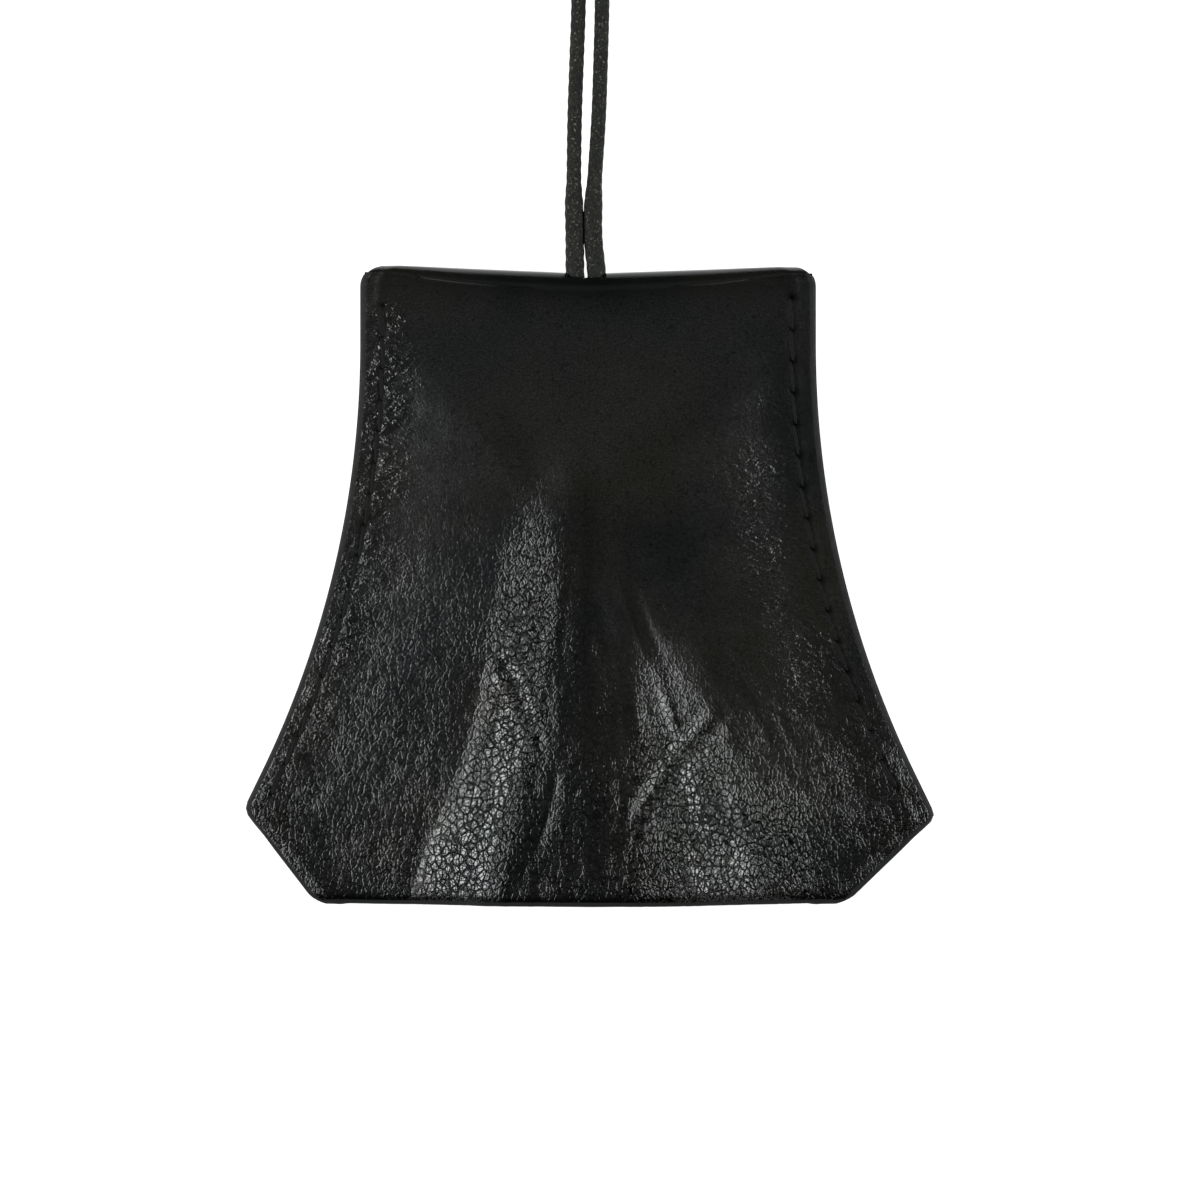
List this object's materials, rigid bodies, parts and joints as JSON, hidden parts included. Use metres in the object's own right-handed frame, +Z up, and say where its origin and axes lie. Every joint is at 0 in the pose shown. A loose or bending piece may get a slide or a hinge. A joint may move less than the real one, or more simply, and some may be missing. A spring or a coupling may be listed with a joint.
{
  "type": "leather neck pouch",
  "caption": "Bell-shaped leather pouch on a neck cord: a folded hide sewn down both sides, open at the hem, that slides up the cord to bare a knotted loop and key ring.",
  "frame": {"origin": "on the surface the pouch lies on, under the middle of the leather's bounding box", "axes": "+X across the front to the right, +Y along the pouch towards the fold and the cord, +Z up out of the front panel"},
  "size_m": [0.087, 0.1676, 0.0109],
  "materials": {
    "black_leather": "waxed, glossy smooth grain",
    "black_thread": "waxed linen thread",
    "waxed_cord": "waxed braid, matt",
    "plated_steel": "nickel plated"
  },
  "bodies": {
    "bell": {"leather_bell": "black_leather", "seam_thread_left": "black_thread", "seam_thread_right": "black_thread"},
    "cord": {"cord_strand_left": "waxed_cord", "cord_strand_right": "waxed_cord", "cord_coil": "waxed_cord", "cord_knot": "waxed_cord", "cord_ring_loop": "waxed_cord"},
    "ring": {"split_key_ring": "plated_steel"}
  },
  "joints": [
    {"name": "cord_slide", "type": "slide", "parent": "bell", "child": "cord", "axis": [0, -1, 0], "range_m": [0, 0.045]},
    {"name": "ring_swing", "type": "hinge", "parent": "cord", "child": "ring", "pos_m": [0, 0.0032, 0.0048], "axis": [0, 0, 1], "range_deg": [-25, 25]}
  ]
}
